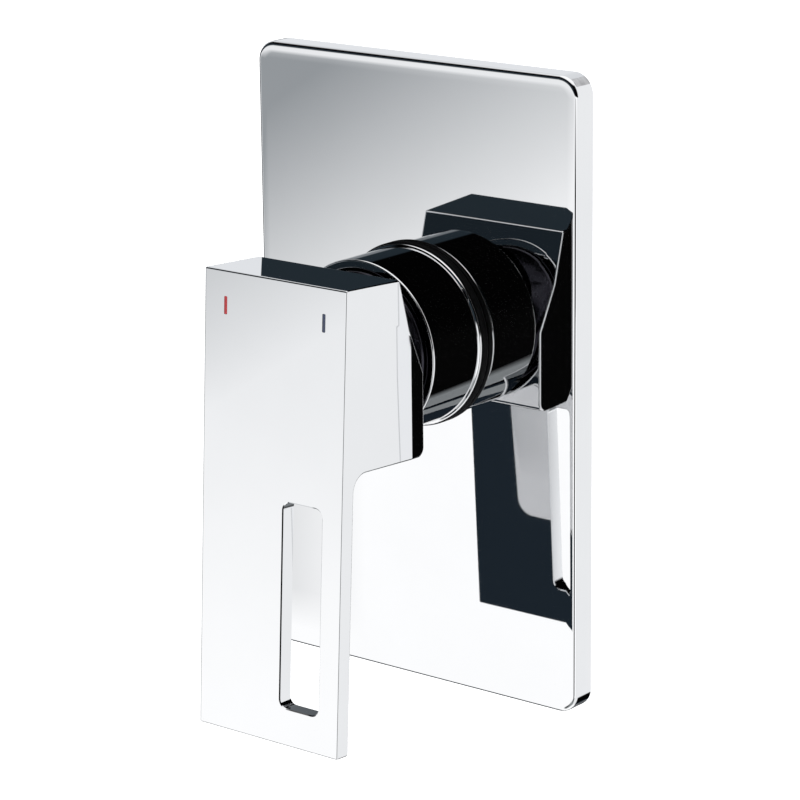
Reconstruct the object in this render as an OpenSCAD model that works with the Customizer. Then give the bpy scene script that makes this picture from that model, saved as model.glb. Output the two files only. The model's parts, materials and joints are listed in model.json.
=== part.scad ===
// Concealed single-lever shower mixer.
// The origin is where the lever's axis meets the finished wall.
// Out of the wall is -Y, up is +Z, and +X is to the right of a person who faces the plate.

/* [Cover plate] */
// Width of the plate
plate_w = 112; // [104:1:150]
// Height of the plate
plate_h = 180; // [150:1:220]
// Depth of the plate from the wall to its front
plate_t = 7.6; // [7:0.2:12]
// Corner radius seen from the front
plate_corner_r = 6; // [3:0.5:14]
// Radius of the rolled front edge
plate_edge_r = 1.5; // [0.8:0.1:2.5]
// Sheet thickness of the plate
plate_wall = 1.6; // [1.2:0.1:2.4]
// Height of the lever's axis above the middle of the plate
plate_drop = 12; // [0:1:25]
// Width of the foam strip behind the rim
gasket_w = 6; // [3:0.5:10]

/* [Sleeve] */
// Outer diameter of the sleeve
sleeve_d = 50; // [49:0.5:56]
// Wall of the sleeve
sleeve_wall = 2.3; // [1.6:0.1:2.4]
// Distance of the sleeve's front from the wall
sleeve_out = 31; // [30:0.2:34]
// Height of the rubber ring under the sleeve
sleeve_seal_t = 2.2; // [1.5:0.1:2.6]

/* [Lever] */
// Width of the lever
lever_w = 49.6; // [46:0.2:54]
// Length of the lever from its top to its lower end
lever_len = 128.8; // [110:0.2:150]
// Height of the lever's top above the axis
head_above = 27; // [25:0.5:30]
// Height of the head's underside below the axis
head_below = 23.6; // [23:0.1:28]
// Distance of the lever's front from the wall on the axis
lever_out = 68.4; // [66:0.2:76]
// Angle by which the lever's lower end leans out
lever_tilt = 3.3; // [0:0.1:5]
// Thickness of the blade
blade_t = 4.8; // [4:0.1:8]
// Inner radius between the head and the blade
blade_fillet_r = 5; // [2:0.5:9]
// Gap between the sleeve's front and the back of the head
head_gap = 3.2; // [2.6:0.1:4]
// Height at which the back of the head starts to slope, from the axis
slope_start = -2; // [-6:0.5:0]
// Angle at which the back first leans away from the wall
slope_low = 26; // [23:0.5:30]
// Angle of the back above that
slope_high = 15.5; // [12:0.5:22]
// Height at which the first angle ends, from the axis
slope_mid = 11; // [6:0.5:16]
// Depth of the taper at the sides of the back
band_depth = 6; // [3:0.1:9]
// Inset of the taper at the sides of the back
band_in = 1; // [0.4:0.1:2]
// Radius of the head's lower back corner
head_corner_r = 2.6; // [1:0.1:4]
// Radius of the hollow in the head
pocket_r = 19.5; // [18.8:0.1:20.5]
// Thickness of metal in front of the hollow
head_front_wall = 7.4; // [5:0.2:10]

/* [Lever slot] */
// Width of the slot in the blade
slot_w = 13.6; // [8:0.2:18]
// Height of the slot in the blade
slot_h = 57.8; // [30:0.2:62]
// Corner radius of the slot
slot_r = 2.4; // [0.5:0.1:5]
// Metal left at the right of the slot
slot_side = 7; // [4:0.2:14]
// Metal left under the slot
slot_foot = 10.6; // [6:0.2:14]

/* [Marks] */
// Width of a temperature mark
mark_w = 1.1; // [0.8:0.1:2]
// Height of a temperature mark
mark_h = 5; // [3:0.2:8]
// Depth of a temperature mark
mark_t = 0.5; // [0.3:0.1:0.8]
// Distance of each mark's middle from the lever's side
mark_side = 7.6; // [4:0.2:10]
// Distance of the marks' middle from the lever's top
mark_down = 9.6; // [6:0.2:14]

/* [Cartridge] */
// Outer diameter of the cartridge
cartridge_d = 35; // [34.6:0.1:35.2]
// Thickness of the cartridge's base
base_t = 5; // [4.5:0.1:6]
// Thickness of the fixed ceramic disc
fixed_disc_t = 4; // [3:0.1:4]
// Thickness of the moving ceramic disc
moving_disc_t = 3.3; // [3:0.1:3.4]
// Diameter of the moving ceramic disc
moving_disc_d = 26; // [25:0.1:26.2]
// Radius of the rotor's neck
rotor_r = 11; // [10.6:0.1:11.1]
// Distance of the lift pivot from the wall
pivot_out = 22; // [21.5:0.1:22.5]
// Distance from the lift pivot to the stem's ball
ball_arm = 14.5; // [14.2:0.1:14.7]
// Radius of the stem's ball
ball_r = 2.6; // [2.2:0.1:2.7]
// Side of the square stem
stem_w = 8; // [7:0.5:8.5]
// Length of the stem in front of the pivot
stem_len = 35.5; // [32:0.5:38]
// Angle of the stem below the axis with the water off
stem_rest = 10; // [9:0.5:10.5]
// Radius of the pivot pin
pin_r = 1.5; // [1.2:0.1:1.8]
// Angle that the lever swings to each side
swivel_half = 45; // [35:1:55]

/* [In-wall body] */
// Outer radius of the neck
neck_r = 21.5; // [21.3:0.1:21.6]
// Distance of the neck's front from the wall
neck_out = 20; // [19:0.2:20.4]
// Depth of the body behind the wall
body_depth = 30; // [29:0.5:33]
// Depth of the chamber's floor behind the wall
floor_depth = 8; // [7.6:0.1:8.4]
// Radius of the thread bore in each port
port_r = 9.3; // [9:0.1:9.5]
// Length of the thread bore in each port
port_len = 15; // [12:0.5:17]
// Outer radius of a port
port_boss_r = 12.6; // [12:0.1:12.8]
// Distance of each inlet from the middle
inlet_x = 16; // [15:0.5:17]
// Distance of the inlets' ends below the axis
inlet_down = 50; // [46:1:60]
// Distance of the outlet's end above the axis
outlet_up = 46; // [42:1:56]
// Depth of the ports' axes behind the wall
port_depth = 17; // [16:0.5:17.5]
// Distance between the two wall screws
ear_spacing = 66; // [60:1:72]
// Radius of a wall screw's hole
ear_hole_r = 2.6; // [2:0.1:3]
// Thickness of the wall flange
ear_t = 3; // [2.4:0.1:3.6]

/* [Hidden] */
$fn = 96;

// Clearances
run_gap = 0.06;
slip_gap = 0.1;
seal_gap = 0.05;
free_gap = 0.3;
eps = 0.01;
far = 200;

// Cartridge levels, as distances out of the wall
floor_out = -floor_depth;
base_top = floor_out + base_t;
fixed_top = base_top + fixed_disc_t;
moving_bottom = fixed_top + 0.05;
moving_top = moving_bottom + moving_disc_t;
rotor_bottom = 10;
carrier_top = rotor_bottom - free_gap;
flange_top = rotor_bottom + 3.2;
washer_t = 0.7;
roof_bottom = flange_top + washer_t + 0.1;
roof_t = 2;
housing_top = roof_bottom + roof_t;
rotor_top = pivot_out + 5;

// Cartridge radii
housing_r = cartridge_d / 2 - slip_gap;
chamber_r = cartridge_d / 2 + slip_gap;
housing_inner_r = housing_r - 1.5;
disc_seat_r = housing_r - 2.8;
fixed_disc_r = disc_seat_r - slip_gap;
moving_disc_r = moving_disc_d / 2;
carrier_r = moving_disc_r - 0.5;
flange_r = housing_inner_r - 0.5;

// Stop rib that limits the swivel, under the axis
stop_at = 270;
rib_r = flange_r - 2.5;
rib_half = 8;
rib_play = 1.5;

// Stem and carrier
ball_up = ball_arm * sin(stem_rest);
ball_slot = ball_r + 0.12;
stem_foot = 5;
rod_r = ball_r - 0.6;
rotor_slot_x = stem_w / 2 + 0.15;
rotor_slot_y = max(stem_foot * tan(stem_rest) + stem_w / 2 / cos(stem_rest) + 0.35,
    (pivot_out - rotor_bottom) * tan(stem_rest) + rod_r + 0.35);
guide_x = carrier_r - 2.4;
guide_w = 2;
guide_h = 2.4;
guide_half = 5.5;

// Water ways, as places across the cartridge and their radii
inlet_way = [5.75, -4.8];
outlet_way = [0, 3.6];
inlet_way_r = 2.4;
outlet_way_r = 3;
way_places = [[-inlet_way[0], inlet_way[1], inlet_way_r],
    [inlet_way[0], inlet_way[1], inlet_way_r],
    [outlet_way[0], outlet_way[1], outlet_way_r]];
seal_w = 1.3;
seal_t = 1.6;
mix_r = 4.9;
mix_depth = 1.8;

// Hot-side limiter
limit_gap = 0.5;
limit_len = 3.4;
limit_tooth = 1;
limit_teeth = 24;

// Neck, nut and dome
thread_r = neck_r - 0.6;
thread_from = neck_out - 5;
nut_bore_from = housing_top - 2;
nut_r = 18.9;
nut_bore_r = nut_r + slip_gap;
nut_inner_r = 14.2;
nut_len = 10;
nut_top = housing_top + nut_len;
hex_from = neck_out + 0.5;
hex_r = 19.4;
sleeve_inner_r = sleeve_d / 2 - sleeve_wall;
dome_wall = 1.3;
dome_inner_r = thread_r + slip_gap;
dome_r = dome_inner_r + dome_wall;
dome_foot = thread_from + 0.4;
dome_shoulder = sleeve_out + 0.4;
dome_edge = 0.7;
dome_hole_r = 13;
dome_lip = 5;
dome_lip_fall = 0.4;
dome_top = dome_shoulder + 2.2;

// Rubber rings
ring_r = 1.25;
ring_out = plate_t + sleeve_seal_t + 1.9;
ring_groove_r = sleeve_inner_r - 2 * ring_r - 2 * seal_gap;
ring_groove_half = ring_r + 0.15;
neck_ring_r = 0.65;
neck_ring_out = roof_bottom + roof_t / 2;
neck_groove_r = rotor_r + free_gap - 2 * neck_ring_r - 2 * seal_gap;

// Plate
plate_mid = -plate_drop;
plate_hole_r = neck_r + 0.5;
cavity_t = plate_t - plate_wall;

// Head
head_rear = sleeve_out + head_gap;
underside = -head_below;
underside_reach = (head_rear - lever_out - head_below * sin(lever_tilt)) / cos(lever_tilt);
corner_up = underside * cos(lever_tilt) + underside_reach * sin(lever_tilt);
corner_run = head_corner_r * tan(45 + lever_tilt / 2);
pocket_top = lever_out - head_front_wall;
socket_len = stem_len + 0.5;
socket_from = 24;
boss_r = 9.5;
boss_top = socket_len + 7;
screw_r = 2.5;
screw_at = 30;
screw_len = boss_r - stem_w / 2;
key_hole_r = 3.2;
slot_x = lever_w / 2 - slot_side - slot_w / 2;
slot_up = head_above - lever_len + slot_foot + slot_h / 2;
mark_up = head_above - mark_down;
mark_x = lever_w / 2 - mark_side;

// Body
ear_r = 7;
collar_r = port_boss_r + 0.6;
collar_len = 6;
boss_root = 4;

// Turns a shape so that its Z axis points out of the wall and its Y axis points up
module out_of_wall() {
    rotate([90, 0, 0]) children();
}

// A flat ring whose length runs along Z
module ring(outer, inner, from, to) {
    translate([0, 0, from])
        difference() {
            cylinder(h = to - from, r = outer);
            translate([0, 0, -eps]) cylinder(h = to - from + 2 * eps, r = inner);
        }
}

// A round rubber ring that lies across Z
module round_ring(middle_r, section_r, at) {
    translate([0, 0, at])
        rotate_extrude() translate([middle_r, 0]) circle(r = section_r, $fn = 32);
}

// A rectangle with rounded corners
module rounded_rect(w, h, r) {
    square([w - 2 * r, h], center = true);
    square([w, h - 2 * r], center = true);
    for (sx = [-1, 1], sy = [-1, 1])
        translate([sx * (w / 2 - r), sy * (h / 2 - r)]) circle(r = r);
}

// A slab with rounded corners and a rolled front edge
module rolled_slab(w, h, r, t, f) {
    linear_extrude(t - f) rounded_rect(w, h, r);
    linear_extrude(t) rounded_rect(w - 2 * f, h - 2 * f, r - f);
    for (s = [-1, 1]) {
        translate([s * (w / 2 - f), 0, t - f])
            rotate([90, 0, 0]) cylinder(h = h - 2 * r, r = f, center = true);
        translate([0, s * (h / 2 - f), t - f])
            rotate([0, 90, 0]) cylinder(h = w - 2 * r, r = f, center = true);
    }
    for (sx = [-1, 1], sy = [-1, 1])
        translate([sx * (w / 2 - r), sy * (h / 2 - r), t - f])
            rotate_extrude() translate([r - f, 0]) circle(r = f, $fn = 32);
}

// A wedge of a round piece between two angles
module sector(r, from, to, h) {
    linear_extrude(h)
        polygon(concat([[0, 0]], [for (i = [0:6]) let (a = from + (to - from) * i / 6) [r * cos(a), r * sin(a)]]));
}

// Places a shape at each water way, with that way's radius in $way_r
module at_ways() {
    for (p = way_places) {
        $way_r = p[2];
        translate([p[0], p[1], 0]) children();
    }
}

// Frame of the stem: Z runs along the stem from the pivot towards its front end
module stem_frame() {
    translate([0, 0, pivot_out]) rotate([stem_rest, 0, 0]) children();
}

// Frame of the lever: Z = 0 is its front face, Y runs up the lever
module lever_frame() {
    translate([0, 0, lever_out]) rotate([-lever_tilt, 0, 0]) children();
}

// Pressed cover plate, hollow behind, with a turned collar round its hole
module cover_plate() {
    color("gainsboro")
        out_of_wall()
            difference() {
                union() {
                    difference() {
                        translate([0, plate_mid, 0])
                            rolled_slab(plate_w, plate_h, plate_corner_r, plate_t, plate_edge_r);
                        translate([0, plate_mid, -eps])
                            linear_extrude(cavity_t + eps)
                                rounded_rect(plate_w - 2 * plate_wall, plate_h - 2 * plate_wall,
                                    plate_corner_r - plate_wall);
                    }
                    translate([0, 0, ear_t]) cylinder(h = plate_t - ear_t - plate_wall / 2, r = plate_hole_r + 2);
                }
                translate([0, 0, -1]) cylinder(h = plate_t + 2, r = plate_hole_r);
            }
}

// Foam strip that closes the plate's rim against the wall
module plate_gasket() {
    outer_w = plate_w - 2 * plate_wall - 0.4;
    outer_h = plate_h - 2 * plate_wall - 0.4;
    outer_r = plate_corner_r - plate_wall - 0.2;
    color("dimgray")
        out_of_wall()
            translate([0, plate_mid, 0])
                linear_extrude(cavity_t)
                    difference() {
                        rounded_rect(outer_w, outer_h, outer_r);
                        square([outer_w - 2 * gasket_w, outer_h - 2 * gasket_w], center = true);
                    }
}

// Round chrome sleeve between the plate and the lever
module sleeve() {
    from = plate_t + sleeve_seal_t;
    color("silver")
        out_of_wall()
            rotate_extrude()
                translate([sleeve_inner_r + sleeve_wall / 2, (from + sleeve_out) / 2])
                    rounded_rect(sleeve_wall, sleeve_out - from, 0.5);
}

// Rubber ring between the plate and the sleeve's foot
module sleeve_seal() {
    color("black")
        out_of_wall()
            ring(sleeve_d / 2 - 0.7, sleeve_inner_r + 0.2, plate_t, plate_t + sleeve_seal_t);
}

// Rubber ring in the neck's groove that grips the sleeve
module sleeve_o_ring() {
    color("black") out_of_wall() round_ring(ring_groove_r + seal_gap + ring_r, ring_r, ring_out);
}

// Domed cap that screws on the neck and covers the nut
module dome_cap() {
    color("silver")
        out_of_wall()
            rotate_extrude()
                polygon([
                    [dome_inner_r, dome_foot],
                    [dome_r, dome_foot],
                    [dome_r, dome_shoulder],
                    [dome_r - dome_edge, dome_shoulder + dome_edge],
                    [dome_hole_r + dome_lip, dome_top - dome_lip_fall],
                    [dome_hole_r, dome_top],
                    [dome_hole_r, dome_top - dome_wall],
                    [dome_hole_r + dome_lip, dome_top - dome_wall - dome_lip_fall],
                    [dome_inner_r, dome_shoulder - dome_edge]]);
}

// Brass nut that clamps the cartridge in the neck
module retaining_nut() {
    color("darkgoldenrod")
        out_of_wall()
            difference() {
                union() {
                    translate([0, 0, housing_top]) cylinder(h = hex_from - housing_top + eps, r = nut_r);
                    translate([0, 0, hex_from]) cylinder(h = nut_top - hex_from, r = hex_r, $fn = 6);
                }
                translate([0, 0, housing_top - 1]) cylinder(h = nut_top, r = nut_inner_r);
            }
}

// Outer shell of the cartridge, with the stop rib inside
module cartridge_housing() {
    color("whitesmoke")
        out_of_wall() {
            difference() {
                translate([0, 0, base_top]) cylinder(h = housing_top - base_top, r = housing_r);
                translate([0, 0, base_top - 1]) cylinder(h = fixed_disc_t + 1, r = disc_seat_r);
                translate([0, 0, fixed_top - eps])
                    cylinder(h = roof_bottom - fixed_top + eps, r = housing_inner_r);
                translate([0, 0, roof_bottom - 1]) cylinder(h = roof_t + 2, r = rotor_r + free_gap);
            }
            intersection() {
                ring(housing_inner_r + 0.5, rib_r + free_gap, rotor_bottom + 0.2, flange_top);
                translate([0, 0, rotor_bottom])
                    sector(far, stop_at - rib_half, stop_at + rib_half, flange_top);
            }
        }
}

// Lower part of the cartridge, with the water ways and the seats of their seals
module cartridge_base() {
    color("lightgray")
        out_of_wall()
            difference() {
                translate([0, 0, floor_out]) cylinder(h = base_t, r = housing_r);
                at_ways() {
                    translate([0, 0, floor_out - 1]) cylinder(h = base_t + 2, r = $way_r);
                    translate([0, 0, floor_out - 1]) cylinder(h = seal_t + 1, r = $way_r + seal_w + slip_gap);
                    translate([0, 0, base_top - seal_t]) cylinder(h = seal_t + 1, r = $way_r + seal_w + slip_gap);
                }
            }
}

// Rubber seals between the cartridge and the body's floor
module base_seals() {
    color("black")
        out_of_wall()
            at_ways() ring($way_r + seal_w, $way_r + slip_gap, floor_out, floor_out + seal_t);
}

// Rubber seals between the base and the fixed disc
module disc_seals() {
    color("black")
        out_of_wall()
            at_ways() ring($way_r + seal_w, $way_r + slip_gap, base_top - seal_t, base_top);
}

// Ceramic disc with the three water ways
module fixed_disc() {
    color("ivory")
        out_of_wall()
            difference() {
                translate([0, 0, base_top]) cylinder(h = fixed_disc_t, r = fixed_disc_r);
                at_ways() translate([0, 0, base_top - 1]) cylinder(h = fixed_disc_t + 2, r = $way_r);
            }
}

// Ceramic disc that slides over the ways, with the mixing hollow in its back
module moving_disc() {
    color("linen")
        out_of_wall()
            translate([0, ball_up, 0])
                difference() {
                    translate([0, 0, moving_bottom]) cylinder(h = moving_disc_t, r = moving_disc_r);
                    translate([0, 0, moving_bottom - 1]) cylinder(h = mix_depth + 1, r = mix_r);
                }
}

// Carrier that holds the moving disc, with the ball's pocket and the guide grooves
module disc_carrier() {
    color("orange")
        out_of_wall()
            translate([0, ball_up, 0])
                difference() {
                    translate([0, 0, moving_top]) cylinder(h = carrier_top - moving_top, r = carrier_r);
                    translate([-ball_slot, -ball_slot, moving_top + 0.4])
                        cube([2 * ball_slot, 2 * ball_slot, carrier_top]);
                    for (s = [-1, 1])
                        translate([s * guide_x, 0, carrier_top - guide_h / 2])
                            cube([guide_w + 2 * slip_gap, far / 4, guide_h + free_gap], center = true);
                }
}

// Rotor that turns with the lever and carries the pivot pin
module rotor() {
    color("white")
        out_of_wall()
            difference() {
                union() {
                    difference() {
                        translate([0, 0, rotor_bottom]) cylinder(h = flange_top - rotor_bottom, r = flange_r);
                        difference() {
                            translate([0, 0, rotor_bottom - 1])
                                sector(far, stop_at - swivel_half - rib_half - rib_play,
                                    stop_at + swivel_half + rib_half + rib_play, far);
                            translate([0, 0, rotor_bottom - 2]) cylinder(h = far, r = rib_r);
                        }
                    }
                    translate([0, 0, rotor_bottom]) cylinder(h = rotor_top - rotor_bottom, r = rotor_r);
                    for (s = [-1, 1])
                        translate([s * guide_x, 0, rotor_bottom - guide_h / 2 + 0.2])
                            cube([guide_w, 2 * guide_half, guide_h + 0.4 - free_gap], center = true);
                }
                translate([-rotor_slot_x, -rotor_slot_y, rotor_bottom - 1])
                    cube([2 * rotor_slot_x, 2 * rotor_slot_y, far]);
                translate([0, 0, pivot_out])
                    rotate([0, 90, 0]) cylinder(h = 3 * rotor_r, r = pin_r + 0.02, center = true);
                ring(rotor_r + 1, neck_groove_r, neck_ring_out - neck_ring_r - 0.05,
                    neck_ring_out + neck_ring_r + 0.05);
            }
}

// Rubber ring that seals the rotor in the housing's roof
module rotor_o_ring() {
    color("black") out_of_wall() round_ring(neck_groove_r + seal_gap + neck_ring_r, neck_ring_r, neck_ring_out);
}

// Slippery washer between the rotor's flange and the housing's roof
module thrust_washer() {
    color("khaki")
        out_of_wall()
            ring(housing_inner_r - 0.2, rotor_r + 0.35, flange_top + 0.05, roof_bottom);
}

// Toothed ring on the rotor that can be set to limit the hot side
module limit_ring() {
    from = housing_top + free_gap;
    color("firebrick")
        out_of_wall()
            difference() {
                ring(nut_inner_r - limit_gap, rotor_r + slip_gap, from, from + limit_len);
                for (i = [0:limit_teeth - 1])
                    rotate([0, 0, i * 360 / limit_teeth])
                        translate([nut_inner_r - limit_gap, 0, from + limit_len])
                            cube([1.2, 0.9, 2 * limit_tooth], center = true);
            }
}

// Steel pin through the rotor and the stem
module pivot_pin() {
    color("slategray")
        out_of_wall()
            translate([0, 0, pivot_out])
                rotate([0, 90, 0]) cylinder(h = 2 * rotor_r - 1, r = pin_r, center = true);
}

// Square stem with the ball that pushes the carrier
module stem() {
    color("slategray")
        out_of_wall()
            stem_frame()
                difference() {
                    union() {
                        translate([-stem_w / 2, -stem_w / 2, -stem_foot])
                            cube([stem_w, stem_w, stem_foot + stem_len]);
                        translate([0, 0, -ball_arm]) cylinder(h = ball_arm - stem_foot + eps, r = rod_r);
                        translate([0, 0, -ball_arm]) sphere(r = ball_r);
                    }
                    rotate([0, 90, 0]) cylinder(h = 2 * stem_w, r = pin_r + run_gap, center = true);
                }
}

// Side outline of the lever in its own frame, as heights and distances out
module lever_side() {
    bottom = head_above - lever_len;
    translate([underside, -far]) square([head_above - underside, far]);
    translate([bottom, -blade_t]) square([head_above - bottom, blade_t]);
    difference() {
        translate([underside - blade_fillet_r, -blade_t - blade_fillet_r])
            square([blade_fillet_r + eps, blade_fillet_r + eps]);
        translate([underside - blade_fillet_r, -blade_t - blade_fillet_r]) circle(r = blade_fillet_r);
    }
}

// Side outline of all that lies in front of the head's back
module head_back_side() {
    mid_rise = (slope_mid - slope_start) * tan(slope_low);
    high_rise = far * tan(slope_high);
    difference() {
        polygon([
            [-far, head_rear],
            [slope_start, head_rear],
            [slope_mid, head_rear + mid_rise],
            [slope_mid + far, head_rear + mid_rise + high_rise],
            [slope_mid + far, 2 * far],
            [-far, 2 * far]]);
        difference() {
            polygon([
                [corner_up - 1, head_rear - 1],
                [corner_up + corner_run, head_rear - 1],
                [corner_up + corner_run, head_rear + head_corner_r],
                [corner_up - 1, head_rear + corner_run]]);
            translate([corner_up + corner_run, head_rear + head_corner_r]) circle(r = head_corner_r);
        }
    }
}

// The lever's outer body before it is hollowed
module lever_body() {
    difference() {
        rotate([90, 0, 90])
            linear_extrude(lever_w, center = true)
                intersection() {
                    translate([0, lever_out]) rotate(-lever_tilt) lever_side();
                    head_back_side();
                }
        for (s = [-1, 1])
            rotate([90, 0, 0])
                linear_extrude(far, center = true)
                    polygon([
                        [s * (lever_w / 2 - band_in), head_rear],
                        [s * lever_w / 2, head_rear + band_depth],
                        [s * (lever_w / 2 + 2), head_rear + band_depth],
                        [s * (lever_w / 2 + 2), head_rear - 2],
                        [s * (lever_w / 2 - band_in), head_rear - 2]]);
    }
}

// One-piece lever: a hollow block head with the stem's socket, and the slotted blade
module lever() {
    color("silver")
        out_of_wall()
            difference() {
                union() {
                    difference() {
                        lever_body();
                        cylinder(h = pocket_top, r = pocket_r);
                    }
                    stem_frame()
                        translate([0, 0, socket_from]) cylinder(h = boss_top - socket_from, r = boss_r);
                }
                stem_frame() {
                    translate([-stem_w / 2 - run_gap, -stem_w / 2 - run_gap, socket_from - 5])
                        cube([stem_w + 2 * run_gap, stem_w + 2 * run_gap, socket_len - socket_from + 5]);
                    translate([0, 0, screw_at]) rotate([90, 0, 0]) cylinder(h = boss_r + 1, r = screw_r);
                    translate([0, -boss_r - 1, screw_at]) rotate([90, 0, 0]) cylinder(h = 30, r = key_hole_r);
                }
                lever_frame() {
                    translate([slot_x, slot_up, -2 * blade_t])
                        linear_extrude(4 * blade_t) rounded_rect(slot_w, slot_h, slot_r);
                    for (s = [-1, 1])
                        translate([s * mark_x, mark_up, -mark_t])
                            linear_extrude(2 * mark_t) square([mark_w, mark_h], center = true);
                }
            }
}

// Grub screw that clamps the stem in its socket
module grub_screw() {
    color("dimgray")
        out_of_wall()
            stem_frame()
                translate([0, -stem_w / 2, screw_at])
                    rotate([90, 0, 0])
                        difference() {
                            cylinder(h = screw_len, r = screw_r - 0.05);
                            translate([0, 0, screw_len - 2.2]) cylinder(h = 3, r = 1.45, $fn = 6);
                        }
}

// Coloured strip let into the lever's front, on the side that s gives
module temperature_mark(s) {
    out_of_wall()
        lever_frame()
            translate([s * mark_x, mark_up, -mark_t])
                linear_extrude(mark_t) square([mark_w - 0.04, mark_h - 0.04], center = true);
}

// Red mark for hot water
module hot_mark() {
    color("red") temperature_mark(-1);
}

// Blue mark for cold water
module cold_mark() {
    color("midnightblue") temperature_mark(1);
}

// Port with its collar, from inside the body down to z = -reach
module port_boss(reach) {
    translate([0, 0, -reach]) cylinder(h = reach + boss_root, r = port_boss_r);
    translate([0, 0, -reach]) cylinder(h = collar_len, r = collar_r);
}

// Brass body in the wall: chamber, neck, wall flange, two inlets and the outlet
module valve_body() {
    color("goldenrod")
        difference() {
            union() {
                out_of_wall() {
                    translate([0, 0, -body_depth]) cylinder(h = body_depth + thread_from, r = neck_r);
                    translate([0, 0, thread_from - eps]) cylinder(h = neck_out - thread_from + eps, r = thread_r);
                    cylinder(h = ear_t, r = neck_r + 4);
                    translate([-ear_spacing / 2, -ear_r, 0]) cube([ear_spacing, 2 * ear_r, ear_t]);
                    for (s = [-1, 1]) translate([s * ear_spacing / 2, 0, 0]) cylinder(h = ear_t, r = ear_r);
                }
                for (s = [-1, 1]) translate([s * inlet_x, port_depth, 0]) port_boss(inlet_down);
                translate([0, port_depth, 0]) mirror([0, 0, 1]) port_boss(outlet_up);
            }
            out_of_wall() {
                translate([0, 0, floor_out]) cylinder(h = far, r = chamber_r);
                translate([0, 0, nut_bore_from]) cylinder(h = far, r = nut_bore_r);
                at_ways() translate([0, 0, -port_depth]) cylinder(h = port_depth, r = $way_r);
                ring(neck_r + 1, ring_groove_r, ring_out - ring_groove_half, ring_out + ring_groove_half);
                for (s = [-1, 1])
                    translate([s * ear_spacing / 2, 0, -1]) cylinder(h = ear_t + 2, r = ear_hole_r);
            }
            for (s = [-1, 1]) {
                translate([s * inlet_x, port_depth, 0]) inlet_way_bore(s);
            }
            translate([0, port_depth, 0]) mirror([0, 0, 1]) outlet_bore();
        }
}

// Inlet bore and the slanted way to the hole in the chamber's floor
module inlet_way_bore(side) {
    run = inlet_x - inlet_way[0];
    rise = inlet_down - port_len + inlet_way[1];
    lean = atan2(run, rise);
    translate([0, 0, -inlet_down - 1]) cylinder(h = port_len + 1, r = port_r);
    translate([0, 0, -inlet_down + port_len])
        rotate([0, -side * lean, 0])
            translate([0, 0, -2]) cylinder(h = norm([run, rise]) + 2, r = inlet_way_r + 0.6);
}

// Outlet bore and the way to the hole in the chamber's floor
module outlet_bore() {
    translate([0, 0, -outlet_up - 1]) cylinder(h = port_len + 1, r = port_r);
    translate([0, 0, -outlet_up]) cylinder(h = outlet_up - outlet_way[1], r = outlet_way_r + 1);
}

cover_plate();
plate_gasket();
sleeve();
sleeve_seal();
sleeve_o_ring();
dome_cap();
retaining_nut();
cartridge_housing();
cartridge_base();
base_seals();
disc_seals();
fixed_disc();
moving_disc();
disc_carrier();
rotor();
rotor_o_ring();
thrust_washer();
limit_ring();
pivot_pin();
stem();
lever();
grub_screw();
hot_mark();
cold_mark();
valve_body();
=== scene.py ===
"""Concealed single-lever shower mixer: the looks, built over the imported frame."""

import json
import math

import bmesh
import bpy
from mathutils import Matrix, Vector


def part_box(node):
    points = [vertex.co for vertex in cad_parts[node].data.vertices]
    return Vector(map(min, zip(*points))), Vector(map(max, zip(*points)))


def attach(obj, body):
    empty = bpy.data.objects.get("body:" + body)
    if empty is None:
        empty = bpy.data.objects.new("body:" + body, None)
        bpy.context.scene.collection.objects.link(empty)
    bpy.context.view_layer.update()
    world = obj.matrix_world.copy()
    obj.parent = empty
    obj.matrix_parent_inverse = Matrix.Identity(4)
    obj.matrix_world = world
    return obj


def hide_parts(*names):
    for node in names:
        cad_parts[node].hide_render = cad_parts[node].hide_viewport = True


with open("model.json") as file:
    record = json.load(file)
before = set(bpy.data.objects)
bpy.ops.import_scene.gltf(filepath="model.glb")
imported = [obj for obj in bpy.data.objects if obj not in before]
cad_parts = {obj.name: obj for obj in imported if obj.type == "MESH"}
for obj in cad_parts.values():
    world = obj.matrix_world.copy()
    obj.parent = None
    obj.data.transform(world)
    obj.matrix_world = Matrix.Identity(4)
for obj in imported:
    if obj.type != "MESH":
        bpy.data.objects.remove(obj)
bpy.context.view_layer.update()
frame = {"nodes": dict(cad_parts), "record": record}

bl_info = {
    "name": "Shower mixer dresser",
    "version": (1, 0, 0),
    "blender": (4, 5, 0),
    "location": "View3D > Sidebar > Mixer",
    "description": "Builds the visible pieces and finishes of a concealed shower mixer",
    "category": "Add Mesh",
}

MM = 0.001
SAME = 1e-7  # points closer than this are one point


def corners(node):
    """Lowest and highest corner of a node's box, in metres."""
    lo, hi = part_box(node)
    return Vector(lo), Vector(hi)


def length(name, default_mm, about, least=0.0):
    """A length property whose default is given in millimetres."""
    return bpy.props.FloatProperty(
        name=name, description=about, default=default_mm * MM, unit="LENGTH", min=least
    )


def angle(name, default_deg, about):
    """An angle property whose default is given in degrees."""
    return bpy.props.FloatProperty(
        name=name, description=about, default=math.radians(default_deg), subtype="ANGLE"
    )


def colour(name, default, about):
    """A colour property."""
    return bpy.props.FloatVectorProperty(
        name=name, description=about, default=default, subtype="COLOR", size=3,
        min=0.0, max=1.0,
    )


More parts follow.
